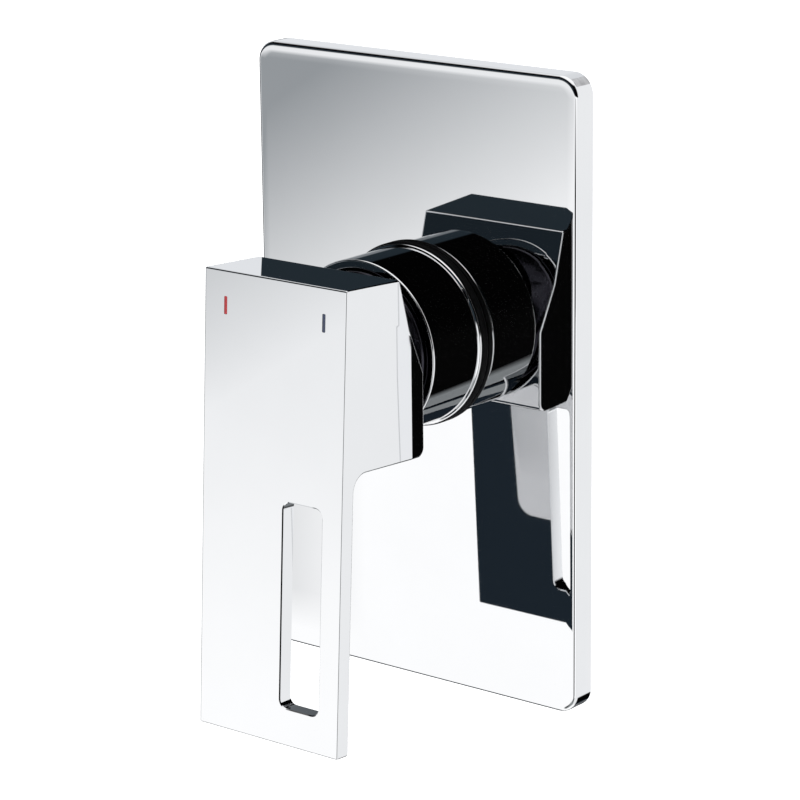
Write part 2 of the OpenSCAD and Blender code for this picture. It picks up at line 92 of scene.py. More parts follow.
class MixerSizes(bpy.types.PropertyGroup):
    """Sizes of the visible pieces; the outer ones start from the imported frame."""

    plate_corner: length("Plate corner", 6.0, "Corner radius of the plate seen from the front")
    plate_edge: length("Plate edge", 1.15, "Radius of the plate's rolled front edge")
    plate_ease: length("Plate ease", 2.2, "Width over which the plate's front leans to its edge")
    plate_lean: angle("Plate lean", 4.0, "Lean of the front where the edge's radius begins")
    plate_wall: length("Plate wall", 1.6, "Sheet thickness of the plate")
    plate_hole: length("Plate hole", 22.0, "Radius of the hole in the plate")
    collar_start: length("Collar start", 3.0, "Distance of the turned collar's back from the wall")
    sleeve_wall: length("Sleeve wall", 2.3, "Wall of the sleeve")
    sleeve_lip: length("Sleeve lip", 0.5, "Rounding of the sleeve's rims")
    sleeve_bead: length("Sleeve bead", 0.55, "Radius of the bead round the sleeve's foot")
    sleeve_extra: length("Sleeve extra", 0.3, "How far the tube stands proud of the CAD's sleeve")
    # The ring's extra width beyond the CAD's seal is painted shade: the black band stands in for
    # the shadow gap at the sleeve's foot.
    shade_band_extra: length("Shadow band extra", 2.1, "How far the black ring stands out beyond the CAD's")
    lever_tilt: angle("Lever tilt", 3.3, "Angle by which the lever's lower end leans out")
    lever_edge: length("Lever edge", 0.5, "Rounding of the lever's outer edges")
    blade: length("Blade", 4.8, "Thickness of the blade")
    blade_fillet: length("Blade fillet", 5.0, "Inner radius between head and blade")
    lever_out: length("Lever distance", 68.4, "Distance of the lever's front from the wall")
    head_above: length("Head above", 27.0, "Height of the lever's top above the axis")
    head_below: length("Head below", 23.6, "Depth of the head's underside below the axis")
    head_rear: length("Head back", 34.2, "Distance of the head's back from the wall")
    slope_start: length("Slope start", -2.0, "Height where the head's back starts to lean", -1.0)
    slope_mid: length("Slope change", 11.0, "Height where the lean of the back changes")
    slope_low: angle("Lower slope", 26.0, "Lean of the lower part of the slope")
    slope_high: angle("Upper slope", 15.5, "Lean of the upper part of the slope")
    head_corner: length("Head corner", 2.6, "Radius of the head's lower back corner")
    band_depth: length("Side band depth", 6.0, "Depth of the taper at the sides of the back")
    band_in: length("Side band inset", 0.55, "Inset of the taper at the sides of the back")
    pocket: length("Head hollow", 19.5, "Radius of the hollow in the head")
    pocket_top: length("Hollow's floor", 61.0, "Distance of the hollow's floor from the wall")
    slot_width: length("Slot width", 13.6, "Width of the slot in the blade")
    slot_height: length("Slot height", 57.8, "Height of the slot in the blade")
    slot_corner: length("Slot corner", 2.4, "Corner radius of the slot")
    slot_side: length("Slot side", 7.0, "Metal left at the right of the slot")
    slot_foot: length("Slot foot", 10.6, "Metal left under the slot")
    mark_depth: length("Mark depth", 0.5, "Depth of the two temperature marks")
    pivot_out: length("Pivot distance", 22.0, "Distance of the lift pivot from the wall")
    stem_rest: angle("Stem tilt", 10.0, "Angle of the stem below the axis at rest")
    stem_side: length("Stem side", 8.0, "Side of the square stem")
    thread_pitch: length("Thread pitch", 1.8, "Pitch of the threads in the ports")


class MixerColours(bpy.types.PropertyGroup):
    """Colours of the finishes."""

    chrome: colour("Chrome", (0.70, 0.705, 0.715), "Bright plating")
    brass: colour("Brass", (0.62, 0.44, 0.17), "Cast brass")
    hot: colour("Hot mark", (0.62, 0.012, 0.02), "Enamel of the hot mark")
    cold: colour("Cold mark", (0.012, 0.028, 0.09), "Enamel of the cold mark")
    floor: colour("Floor", (0.9, 0.9, 0.9), "Studio floor")


# ---- materials


def maths(tree, operation, *values):
    """Output of a maths node that is fed with numbers or with other outputs."""
    node = tree.nodes.new("ShaderNodeMath")
    node.operation = operation
    for socket, value in zip(node.inputs, values):
        if isinstance(value, (int, float)):
            socket.default_value = value
        else:
            tree.links.new(value, socket)
    return node.outputs["Value"]


def levels(tree, value, start, end, to_start, to_end, kind="LINEAR"):
    """Value moved from the range start to end into the range to_start to to_end."""
    node = tree.nodes.new("ShaderNodeMapRange")
    node.interpolation_type = kind
    ends = (("From Min", start), ("From Max", end), ("To Min", to_start), ("To Max", to_end))
    for key, number in ends:
        node.inputs[key].default_value = number
    tree.links.new(value, node.inputs["Value"])
    return node.outputs["Result"]


class Finish:
    """Builds one node material with a short call for each node."""

    def __init__(self, name, base, metallic=0.0, rough=0.4, **sockets):
        self.material = bpy.data.materials.new(name)
        self.material.use_nodes = True
        self.tree = self.material.node_tree
        self.shader = self.tree.nodes["Principled BSDF"]
        self.put("Base Color", (*base, 1.0))
        self.put("Metallic", metallic)
        self.put("Roughness", rough)
        for key, value in sockets.items():
            self.put(key.replace("_", " "), value)
        self.material.diffuse_color = (*base, 1.0)
        self.place = self.add("ShaderNodeTexCoord").outputs["Object"]

    def put(self, socket, value):
        self.shader.inputs[socket].default_value = value

    def add(self, kind, inputs=()):
        """A new node with some of its inputs set."""
        node = self.tree.nodes.new(kind)
        for key, value in inputs:
            node.inputs[key].default_value = value
        return node

    def join(self, out, into):
        self.tree.links.new(out, into)

    def stretch(self, scale):
        """The object's coordinates, scaled along each axis."""
        node = self.add("ShaderNodeMapping", [("Scale", scale)])
        self.join(self.place, node.inputs["Vector"])
        return node.outputs["Vector"]

    def noise(self, scale, detail=3.0, rough=0.5, vector=None):
        inputs = (("Scale", scale), ("Detail", detail), ("Roughness", rough))
        node = self.add("ShaderNodeTexNoise", inputs)
        self.join(vector or self.place, node.inputs["Vector"])
        return node.outputs["Fac"]

    def cells(self, scale):
        node = self.add("ShaderNodeTexVoronoi", [("Scale", scale)])
        self.join(self.place, node.inputs["Vector"])
        return node.outputs["Distance"]

    def tint(self, value, first, second, at=(0.35, 0.65)):
        """Base colour that runs from first to second with value."""
        ramp = self.add("ShaderNodeValToRGB")
        ramp.color_ramp.elements[0].position = at[0]
        ramp.color_ramp.elements[0].color = (*first, 1.0)
        ramp.color_ramp.elements[1].position = at[1]
        ramp.color_ramp.elements[1].color = (*second, 1.0)
        self.join(value, ramp.inputs["Fac"])
        self.join(ramp.outputs["Color"], self.shader.inputs["Base Color"])

    def roughen(self, value, low_end, high_end):
        """Roughness that follows the middle of a pattern's range."""
        spread = levels(self.tree, value, 0.3, 0.7, low_end, high_end)
        self.join(spread, self.shader.inputs["Roughness"])

    def wear(self, value, first, second, rough, bump):
        """Colour, roughness and bump that all follow one pattern."""
        self.tint(value, first, second)
        self.roughen(value, *rough)
        self.bump(value, *bump)

    def bump(self, value, strength, depth_mm):
        node = self.add("ShaderNodeBump", [("Strength", strength), ("Distance", depth_mm * MM)])
        self.join(value, node.inputs["Height"])
        self.join(node.outputs["Normal"], self.shader.inputs["Normal"])


def shade(rgb, factor):
    return tuple(min(1.0, c * factor) for c in rgb)


def make_finishes(colours):
    """Every finish of the mixer, by name."""
    made = {}
    for key, name, scale, strength, depth_mm in (
        ("chrome", "chrome plating", 30.0, 0.4, 0.02),
        ("plate", "chrome plating on pressed sheet", 16.0, 0.6, 0.05),
    ):
        chrome = Finish(name, colours.chrome, 1.0, 0.02)
        wear = chrome.noise(38.0, 5.0, 0.55)
        chrome.tint(wear, shade(colours.chrome, 0.985), colours.chrome)
        chrome.roughen(wear, 0.012, 0.024)
        chrome.bump(chrome.noise(scale, 1.0, 0.4), strength, depth_mm)
        made[key] = chrome

    satin = Finish("bare pressed steel", (0.5, 0.5, 0.51), 1.0, 0.42)
    rolled = satin.noise(700.0, 3.0, 0.6, satin.stretch((1.0, 1.0, 0.03)))
    satin.wear(rolled, (0.42, 0.42, 0.43), (0.56, 0.56, 0.57), (0.34, 0.52), (0.12, 0.02))

    # Near-black metal as painted shade in the lever's hollow and on the domed cap inside the
    # sleeve; the haze is random tone.
    dark = Finish("near-black chrome as painted shade", (0.04, 0.039, 0.048), 1.0, 0.24)
    haze = dark.noise(1200.0, 4.0, 0.5, dark.stretch((0.2, 1.0, 0.2)))
    dark.wear(haze, (0.03, 0.029, 0.037), (0.05, 0.049, 0.06), (0.2, 0.3), (0.08, 0.02))

    brass = Finish("cast brass", colours.brass, 1.0, 0.42)
    cast = brass.noise(520.0, 6.0, 0.6)
    brass.tint(brass.noise(60.0, 5.0), shade(colours.brass, 0.72), shade(colours.brass, 1.12))
    brass.roughen(cast, 0.3, 0.52)
    brass.bump(cast, 0.35, 0.12)

    machined = Finish("machined brass", shade(colours.brass, 1.15), 1.0, 0.24)
    lines = machined.noise(1400.0, 2.0, 0.5, machined.stretch((0.05, 1.0, 0.05)))
    machined.wear(lines, colours.brass, shade(colours.brass, 1.3), (0.16, 0.32), (0.15, 0.03))

    steel = Finish("ground steel", (0.56, 0.57, 0.59), 1.0, 0.28)
    grain = steel.noise(2200.0, 2.0, 0.5, steel.stretch((1.0, 0.04, 1.0)))
    steel.wear(grain, (0.47, 0.48, 0.5), (0.64, 0.65, 0.67), (0.2, 0.38), (0.15, 0.02))

    rubber = Finish("moulded rubber", (0.005, 0.005, 0.006), 0.0, 0.5, Specular_IOR_Level=0.08)
    skin = rubber.noise(1500.0, 4.0)
    rubber.wear(skin, (0.003, 0.003, 0.0035), (0.007, 0.007, 0.0075), (0.42, 0.62), (0.2, 0.04))

    foam = Finish("closed-cell foam", (0.03, 0.03, 0.032), 0.0, 0.95, Specular_IOR_Level=0.2)
    pores = foam.cells(1300.0)
    foam.tint(pores, (0.012, 0.012, 0.013), (0.05, 0.05, 0.053), (0.1, 0.6))
    foam.bump(pores, 0.7, 0.25)

    ceramic = Finish(
        "lapped ceramic", (0.86, 0.83, 0.76), 0.0, 0.18, Coat_Weight=0.15, Coat_Roughness=0.1
    )
    specks = ceramic.noise(2600.0, 3.0)
    ceramic.wear(specks, (0.8, 0.77, 0.7), (0.9, 0.87, 0.81), (0.12, 0.26), (0.04, 0.01))

    made.update(
        satin=satin, dark=dark, brass=brass, machined=machined, steel=steel, rubber=rubber,
        foam=foam, ceramic=ceramic,
    )
    for key, name, base in (
        ("white", "white moulded plastic", (0.78, 0.78, 0.75)),
        ("grey", "grey moulded plastic", (0.36, 0.37, 0.38)),
        ("amber", "amber moulded plastic", (0.62, 0.3, 0.07)),
        ("red", "red moulded plastic", (0.42, 0.03, 0.025)),
    ):
        plastic = Finish(name, base, 0.0, 0.42, Specular_IOR_Level=0.5)
        texture = plastic.noise(1800.0, 3.0)
        plastic.tint(plastic.noise(90.0, 3.0), shade(base, 0.93), shade(base, 1.05))
        plastic.roughen(texture, 0.34, 0.5)
        plastic.bump(texture, 0.12, 0.03)
        made[key] = plastic

    for key, base in (("hot", colours.hot), ("cold", colours.cold)):
        enamel = Finish(key + " enamel", base, 0.0, 0.25, Coat_Weight=0.4, Coat_Roughness=0.08)
        pigment = enamel.noise(3000.0, 2.0)
        enamel.tint(pigment, shade(base, 0.85), shade(base, 1.15))
        enamel.bump(pigment, 0.06, 0.02)
        made[key] = enamel

    return {key: look.material for key, look in made.items()}


FINISHES = {}


def finish(key):
    """The material of that name, made on first use."""
    if not FINISHES:
        FINISHES.update(make_finishes(bpy.context.scene.mixer_colours))
    return FINISHES[key]


# ---- mesh helpers


def keep(name, mesh, material, body, nodes=()):
    """Links a finished mesh as a piece that rides on a body and stands for nodes."""
    piece = bpy.data.objects.new(name, mesh)
    bpy.context.scene.collection.objects.link(piece)
    mesh.materials.clear()
    mesh.materials.append(material)
    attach(piece, body)
    if nodes:
        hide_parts(*nodes)
    return piece


SHARP_DEG = 32.0  # edges that turn by more stay sharp


def mesh_of(bm, name, sharp_deg=SHARP_DEG):
    """Turns a bmesh into a smooth mesh with its real corners kept sharp."""
    bmesh.ops.remove_doubles(bm, verts=bm.verts, dist=SAME)
    bmesh.ops.recalc_face_normals(bm, faces=bm.faces)
    mesh = bpy.data.meshes.new(name)
    bm.to_mesh(mesh)
    bm.free()
    mesh.shade_smooth()
    mesh.set_sharp_from_angle(angle=math.radians(sharp_deg))
    return mesh


def settle(mesh, modifiers):
    """Applies modifiers to a mesh through a short-lived object and returns the new mesh."""
    holder = bpy.data.objects.new("holder", mesh)
    bpy.context.scene.collection.objects.link(holder)
    for kind, settings in modifiers:
        modifier = holder.modifiers.new(kind.lower(), kind)
        for key, value in settings.items():
            setattr(modifier, key, value)
    bpy.context.view_layer.update()
    graph = bpy.context.evaluated_depsgraph_get()
    result = bpy.data.meshes.new_from_object(
        holder.evaluated_get(graph), preserve_all_data_layers=True, depsgraph=graph
    )
    bpy.data.objects.remove(holder)
    return result


def even_normals(mesh):
    """Lets the large flat faces stay flat up to their rounded edges."""
    weights = {"weight": 100, "keep_sharp": True, "mode": "FACE_AREA"}
    return settle(mesh, [("WEIGHTED_NORMAL", weights)])


def bridge(bm, rows, closed=False):
    """Joins each closed row of points to the next, and the last to the first if closed."""
    count = len(rows[0])
    for number, one in enumerate(rows if closed else rows[:-1]):
        two = rows[(number + 1) % len(rows)]
        for k in range(count):
            n = (k + 1) % count
            bm.faces.new((one[k], one[n], two[n], two[k]))


def bridge_solid(bm, rows):
    """Joins the rows and closes both ends."""
    bridge(bm, rows)
    bm.faces.new(rows[0])
    bm.faces.new(list(reversed(rows[-1])))


def lathe(name, profile, turns=192):
    """A closed ring from (radius, distance out of the wall) points, in metres."""
    bm = bmesh.new()
    rings = []
    for step in range(turns):
        a = 2 * math.pi * step / turns
        rings.append([bm.verts.new((r * math.cos(a), -h, r * math.sin(a))) for r, h in profile])
    bridge(bm, rings, closed=True)
    return mesh_of(bm, name, sharp_deg=50.0)


def arc(cx, cy, radius, start, end, steps):
    """Points on an arc, angles in degrees."""
    turns = [math.radians(start + (end - start) * k / steps) for k in range(steps + 1)]
    return [(cx + radius * math.cos(a), cy + radius * math.sin(a)) for a in turns]


def rounded_outline(width, height, radius, straight=10, corner=14):
    """Points round a rounded rectangle, the same count for every size."""
    x, z = width / 2 - radius, height / 2 - radius
    points = []
    centres = ((x, z), (-x, z), (-x, -z), (x, -z))
    for quarter, (cx, cz) in enumerate(centres):
        start = 90 * quarter
        points += arc(cx, cz, radius, start, start + 90, corner)
        last = points[-1]
        following = centres[(quarter + 1) % 4]
        a = math.radians(start + 90)
        goal = (following[0] + radius * math.cos(a), following[1] + radius * math.sin(a))
        for k in range(1, straight):
            t = k / straight
            points.append((last[0] + (goal[0] - last[0]) * t, last[1] + (goal[1] - last[1]) * t))
    return points


def prism(outline, low_end, high_end, place):
    """A closed prism over a flat outline; place turns (a, b, level) into a point."""
    bm = bmesh.new()
    first = [bm.verts.new(place(a, b, low_end)) for a, b in outline]
    second = [bm.verts.new(place(a, b, high_end)) for a, b in outline]
    count = len(outline)
    bm.faces.new(first)
    bm.faces.new(list(reversed(second)))
    for k in range(count):
        n = (k + 1) % count
        bm.faces.new((first[k], second[k], second[n], first[n]))
    return bm


def turned(profile, axis_from, axis_to, steps=64):
    """A closed turned solid: (radius, distance along the axis) points between two poles."""
    start, end = Vector(axis_from), Vector(axis_to)
    along = (end - start).normalized()
    side = along.orthogonal().normalized()
    other = along.cross(side)
    bm = bmesh.new()
    rings = []
    turns = [2 * math.pi * k / steps for k in range(steps)]
    for r, d in profile:
        centre = start + along * d
        rings.append(
            [bm.verts.new(centre + (side * math.cos(a) + other * math.sin(a)) * r) for a in turns]
        )
    bridge_solid(bm, rings)
    return bm


def combine(mesh, steps):
    """Cuts or joins one mesh with others in turn and returns the result."""
    helpers = []
    modifiers = []
    for number, (kind, bm) in enumerate(steps):
        bmesh.ops.recalc_face_normals(bm, faces=bm.faces)
        tool_mesh = bpy.data.meshes.new("tool")
        bm.to_mesh(tool_mesh)
        bm.free()
        tool = bpy.data.objects.new("tool_%d" % number, tool_mesh)
        bpy.context.scene.collection.objects.link(tool)
        helpers.append(tool)
        modifiers.append(("BOOLEAN", {"operation": kind, "solver": "EXACT", "object": tool}))
    result = settle(mesh, modifiers)
    for tool in helpers:
        bpy.data.objects.remove(tool)
    return result


# ---- plate

BACK_CHAMFER = 0.12 * MM
HOLE_CHAMFER = 0.25 * MM
INNER_CHAMFER = 0.6 * MM
COLLAR_WALL = 2 * MM


def build_plate(sizes):
    """Pressed plate with a rolled front edge, hollow behind, with a turned collar."""
    lo, hi = corners("cover_plate")
    width, height, depth = hi.x - lo.x, hi.z - lo.z, hi.y - lo.y
    middle = (hi.z + lo.z) / 2
    edge, wall, corner = sizes.plate_edge, sizes.plate_wall, sizes.plate_corner
    hole = sizes.plate_hole
    base = rounded_outline(width, height, corner)

    def outline(inset, h):
        points = rounded_outline(width - 2 * inset, height - 2 * inset, corner - inset)
        return [(x, -h, z + middle) for x, z in points]

    def circle(radius, h):
        points = []
        for x, z in base:
            v = Vector((x, z + middle)).normalized() * radius
            points.append((v.x, -h, v.y))
        return points

    ease, lean = sizes.plate_ease, sizes.plate_lean
    fall = ease * math.tan(lean) / 2
    centre = depth - fall - edge * math.cos(lean)
    loops = [outline(BACK_CHAMFER, 0.0), outline(0.0, BACK_CHAMFER), outline(0.0, centre)]
    for k in range(1, 11):
        a = (math.pi / 2 - lean) * k / 10
        loops.append(outline(edge * (1 - math.cos(a)), centre + edge * math.sin(a)))
    start = edge * (1 - math.sin(lean))
    for k in range(1, 9):
        left = 1 - k / 8
        loops.append(outline(start + ease * (1 - left), depth - fall * left * left))
    loops += [
        circle(hole + COLLAR_WALL, depth),
        circle(hole + HOLE_CHAMFER, depth),
        circle(hole, depth - HOLE_CHAMFER),
        circle(hole, sizes.collar_start),
        circle(hole + COLLAR_WALL, sizes.collar_start),
        circle(hole + COLLAR_WALL, depth - wall),
        outline(wall + INNER_CHAMFER, depth - wall),
        outline(wall, depth - wall - INNER_CHAMFER),
        outline(wall, BACK_CHAMFER),
        outline(wall - BACK_CHAMFER, 0.0),
    ]
    bm = bmesh.new()
    bridge(bm, [[bm.verts.new(p) for p in loop] for loop in loops], closed=True)
    return even_normals(mesh_of(bm, "plate_shell", sharp_deg=40.0))


class MIXER_OT_plate(bpy.types.Operator):
    """Builds the cover plate and finishes the foam strip behind it"""

    bl_idname = "mixer.plate"
    bl_label = "Cover plate"

    def execute(self, context):
        sizes = context.scene.mixer_sizes
        mesh = build_plate(sizes)
        shell = keep("plate_shell", mesh, finish("plate"), "base", ["cover_plate"])
        shell.data.materials.append(finish("satin"))
        lo, hi = corners("cover_plate")
        for face in shell.data.polygons:
            c = face.center
            rim = min(c.x - lo.x, hi.x - c.x, c.z - lo.z, hi.z - c.z)
            behind = c.y > lo.y + 0.8 * sizes.plate_wall
            inside = rim > 0.5 * sizes.plate_wall
            face.material_index = 1 if behind and inside else 0
        dress("plate_gasket", "foam")
        return {"FINISHED"}


# ---- sleeve, foot ring and dome

FOOT_RING_WALL = 1.4 * MM
FOOT_RING_LIP = 0.6 * MM
DOME_WALL = 1.3 * MM
DOME_RISE = 2.2 * MM
DOME_CORNER = 0.9 * MM
DOME_HOLE = 13.0 * MM


def ring_profile(outer, inner, start, end, lip, steps=6):
    """Closed profile of a ring with rounded corners."""
    quarters = (
        (outer - lip, start + lip, -90, 0),
        (outer - lip, end - lip, 0, 90),
        (inner + lip, end - lip, 90, 180),
        (inner + lip, start + lip, 180, 270),
    )
    points = []
    for r, h, a, b in quarters:
        points += arc(r, h, lip, a, b, steps)
    return points


def sleeve_profile(sizes, outer, start, end):
    """Closed profile of the sleeve, with a round bead at its foot."""
    lip, bead = sizes.sleeve_lip, sizes.sleeve_bead
    inner = outer - sizes.sleeve_wall - sizes.sleeve_extra
    points = arc(outer + 0.25 * bead, start + bead, bead, -90, 70, 16)
    points.append((outer, start + 2.2 * bead))
    points += arc(outer - lip, end - lip, lip, 0, 90, 8)
    points += arc(inner + lip, end - lip, lip, 90, 180, 8)
    points += arc(inner + lip, start + lip, lip, 180, 270, 4)
    return points


def dome_profile(outer, foot, top):
    """Closed profile of the domed cap, from its foot over its crown to its inside."""
    shoulder = top - DOME_RISE
    return [
        (outer - DOME_WALL, foot),
        (outer, foot),
        (outer, shoulder),
        *arc(outer - DOME_CORNER, shoulder, DOME_CORNER, 15, 75, 5),
        (DOME_HOLE + 5 * MM, top - 0.4 * MM),
        (DOME_HOLE + 2 * MM, top - 0.1 * MM),
        (DOME_HOLE + 0.3 * MM, top),
        (DOME_HOLE, top - 0.3 * MM),
        (DOME_HOLE, top - DOME_WALL),
        (DOME_HOLE + 4.5 * MM, top - DOME_WALL - 0.4 * MM),
        (outer - DOME_WALL, shoulder - 0.7 * MM),
    ]


class MIXER_OT_sleeve(bpy.types.Operator):
    """Builds the sleeve, the rubber ring under it, widened into a black band of painted shadow, and
    the domed cap inside it, near-black as painted shade
    """

    bl_idname = "mixer.sleeve"
    bl_label = "Sleeve and cap"

    def execute(self, context):
        sizes = context.scene.mixer_sizes
        lo, hi = corners("sleeve")
        outer = (hi.x - lo.x) / 2
        profile = sleeve_profile(sizes, outer + sizes.sleeve_extra, -hi.y, -lo.y)
        mesh = even_normals(lathe("sleeve_shell", profile))
        keep("sleeve_shell", mesh, finish("chrome"), "base", ["sleeve"])

        lo, hi = corners("sleeve_seal")
        outer = (hi.x - lo.x) / 2
        inner = outer - FOOT_RING_WALL
        # The real rubber seal, widened beyond the CAD's so that its black face is painted shadow in
        # the gap at the sleeve's foot.
        profile = ring_profile(outer + sizes.shade_band_extra, inner, -hi.y, -lo.y, FOOT_RING_LIP)
        mesh = lathe("seal_and_shadow_ring", profile)
        keep("seal_and_shadow_ring", mesh, finish("rubber"), "base", ["sleeve_seal"])

        lo, hi = corners("dome_cap")
        mesh = lathe("dome_shell", dome_profile((hi.x - lo.x) / 2, -hi.y, -lo.y), 160)
        # The domed cap inside the sleeve is near-black metal, painted shade.
        keep("dome_shell", mesh, finish("dark"), "base", ["dome_cap"])
        return {"FINISHED"}


# ---- lever

SLOT_FLARE = 0.3 * MM
OVERRUN = 2 * MM
POCKET_MOUTH = 4 * MM
POCKET_CORNER = 1 * MM
BOSS_RADIUS = 9.5 * MM
BOSS_CHAMFER = 0.3 * MM
BOSS_START, BOSS_END = 24 * MM, 42 * MM
SOCKET_PLAY = 0.12 * MM
SOCKET_START, SOCKET_END = 19 * MM, 36 * MM
SCREW_ALONG, SCREW_DROP = 30 * MM, 42 * MM
SCREW_RADIUS, KEY_RADIUS, SCREW_DEPTH = 2.5 * MM, 3.2 * MM, 10.5 * MM
MARK_HEIGHT = 4.96 * MM
MARK_PLAY, MARK_SUNK = 0.02 * MM, 0.05 * MM


class LeverForm:
    """The lever's outlines in its own tilted frame and in the frame of its stem."""

    def __init__(self, sizes):
        self.s = sizes
        self.tilt = sizes.lever_tilt
        lo, hi = corners("lever")
        self.width = hi.x - lo.x
        drop = sizes.blade * math.sin(self.tilt)
        self.bottom = (lo.z + drop) / math.cos(self.tilt)

    def at(self, x, up, deep):
        """World point: up along the lever, deep behind its front face."""
        c, s = math.cos(self.tilt), math.sin(self.tilt)
        h = self.s.lever_out - up * s - deep * c
        return Vector((x, -h, up * c - deep * s))

    def stem(self, x, up, along):
        """World point in the stem's frame, whose origin is the lift pivot."""
        c, s = math.cos(self.s.stem_rest), math.sin(self.s.stem_rest)
        return Vector((x, -(self.s.pivot_out + along * c + up * s), up * c - along * s))

    def side_outline(self):
        """(distance out, height) points round the lever's side, from the top front down."""
        s = self.s
        pts = [self.at(0, s.head_above, 0)]
        pts += [self.at(0, self.bottom, deep) for deep in (0, s.blade)]
        under = -s.head_below
        f = s.blade_fillet
        for k in range(13):
            a = math.radians(90 * k / 12)
            up = under - f + f * math.sin(a)
            deep = s.blade + f - f * math.cos(a)
            pts.append(self.at(0, up, deep))
        flat = [(-p.y, p.z) for p in pts]
        c, t = math.cos(self.tilt), math.sin(self.tilt)
        deep_rear = (s.lever_out - under * t - s.head_rear) / c
        corner_z = under * c - deep_rear * t
        r = s.head_corner
        run = r * math.tan(math.radians(45) + self.tilt / 2)
        cz, ch = corner_z + run, s.head_rear + r
        start = -90 - math.degrees(self.tilt)
        for k in range(9):
            a = math.radians(start + (-180 - start) * k / 8)
            flat.append((ch + r * math.cos(a), cz + r * math.sin(a)))
        rise = (s.slope_mid - s.slope_start) * math.tan(s.slope_low)
        flat.append((s.head_rear, s.slope_start))
        flat.append((s.head_rear + rise, s.slope_mid))
        top_deep = self.meet_top(s.head_rear + rise)
        p = self.at(0, s.head_above, top_deep)
        flat.append((-p.y, p.z))
        return flat

    def meet_top(self, h_mid):
        """Depth along the lever's top at which the upper slope ends."""
        s = self.s
        k = math.tan(s.slope_high)
        c, t = math.cos(self.tilt), math.sin(self.tilt)
        up = s.head_above
        # h_mid + (z - mid) * k = lever_out - up * t - deep * c, with z = up * c - deep * t
        return (s.lever_out - up * t - h_mid - (up * c - s.slope_mid) * k) / (c - t * k)

    def body(self):
        """The solid lever with its side tapers and rounded edges."""
        s = self.s
        half = self.width / 2
        bm = prism(self.side_outline(), -half, half, lambda h, z, x: (x, -h, z))
        bmesh.ops.recalc_face_normals(bm, faces=bm.faces)
        for sign in (-1, 1):
            on = Vector((sign * half, -(s.head_rear + s.band_depth), 0))
            normal = Vector((sign * s.band_depth, s.band_in, 0)).normalized()
            cut = bmesh.ops.bisect_plane(
                bm, geom=bm.verts[:] + bm.edges[:] + bm.faces[:], dist=SAME,
                plane_co=on, plane_no=normal, clear_outer=True,
            )
            loop = [e for e in cut["geom_cut"] if isinstance(e, bmesh.types.BMEdge)]
            bmesh.ops.edgeloop_fill(bm, edges=loop)
        flat, corner = math.radians(0.2), math.radians(35)
        bmesh.ops.dissolve_limit(bm, angle_limit=flat, verts=bm.verts, edges=bm.edges)
        bmesh.ops.recalc_face_normals(bm, faces=bm.faces)
        sharp = [e for e in bm.edges if len(e.link_faces) == 2 and e.calc_face_angle() > corner]
        bmesh.ops.bevel(
            bm, geom=sharp, offset=s.lever_edge, offset_type="OFFSET", segments=4,
            profile=0.5, affect="EDGES", clamp_overlap=True,
        )
        return mesh_of(bm, "lever_solid")

    def slot_tool(self):
        """Cutter of the slot, flared a little at both faces."""
        s = self.s
        x = self.width / 2 - s.slot_side - s.slot_width / 2
        up = self.bottom + s.slot_foot + s.slot_height / 2
        sections = (
            (-OVERRUN, SLOT_FLARE + OVERRUN), (0.0, SLOT_FLARE), (SLOT_FLARE, 0.0),
            (s.blade - SLOT_FLARE, 0.0), (s.blade, SLOT_FLARE),
            (s.blade + OVERRUN, SLOT_FLARE + OVERRUN),
        )
        bm = bmesh.new()
        rows = []
        for deep, grow in sections:
            width, height = s.slot_width + 2 * grow, s.slot_height + 2 * grow
            points = rounded_outline(width, height, s.slot_corner + grow, 6, 8)
            rows.append([bm.verts.new(self.at(x + a, up + b, deep)) for a, b in points])
        bridge_solid(bm, rows)
        return bm

    def pocket_tool(self):
        """Cutter of the round hollow in the head, with a chamfered floor."""
        s = self.s
        start = s.head_rear - POCKET_MOUTH
        reach = s.pocket_top - start
        corner = POCKET_CORNER
        profile = [(s.pocket, 0.0), (s.pocket, reach - corner), (s.pocket - corner, reach)]
        return turned(profile, (0, -start, 0), (0, -s.pocket_top, 0), 96)

    def crease_bands(self, mesh):
        """Keeps the edge between the head's flat sides and their tapers crisp."""
        half = self.width / 2 - 0.01 * MM
        line = -(self.s.head_rear + self.s.band_depth)
        near = 0.03 * MM
        for edge in mesh.edges:
            ends = [mesh.vertices[k].co for k in edge.vertices]
            if all(abs(abs(p.x) - half) < near and abs(p.y - line) < near for p in ends):
                edge.use_edge_sharp = True

    def mark_hollow(self, mesh):
        """Gives the faces inside the head's hollow the second material, near-black metal as painted
        shade.
        """
        reach, floor = self.s.pocket + 0.02 * MM, -(self.s.pocket_top + 0.5 * MM)
        for face in mesh.polygons:
            points = [mesh.vertices[k].co for k in face.vertices]
            inside = all(math.hypot(p.x, p.z) < reach and p.y > floor for p in points)
            face.material_index = 1 if inside else 0

    def boss(self):
        """Boss that holds the stem, from inside the hollow into the head's front."""
        profile = [
            (BOSS_RADIUS - BOSS_CHAMFER, 0.0), (BOSS_RADIUS, BOSS_CHAMFER),
            (BOSS_RADIUS, BOSS_END - BOSS_START),
        ]
        return turned(profile, self.stem(0, 0, BOSS_START), self.stem(0, 0, BOSS_END))

    def socket(self):
        """Cutter of the square socket."""
        half = (self.s.stem_side + SOCKET_PLAY) / 2
        square = [(-half, -half), (half, -half), (half, half), (-half, half)]
        return prism(square, SOCKET_START, SOCKET_END, self.stem)

    def screw_hole(self):
        """Cutter of the grub screw's hole, wider outside the boss."""
        start = self.stem(0, 0, SCREW_ALONG)
        end = self.stem(0, -SCREW_DROP, SCREW_ALONG)
        profile = [
            (SCREW_RADIUS, 0.0), (SCREW_RADIUS, SCREW_DEPTH),
            (KEY_RADIUS, SCREW_DEPTH), (KEY_RADIUS, SCREW_DROP),
        ]
        return turned(profile, start, end, 48)

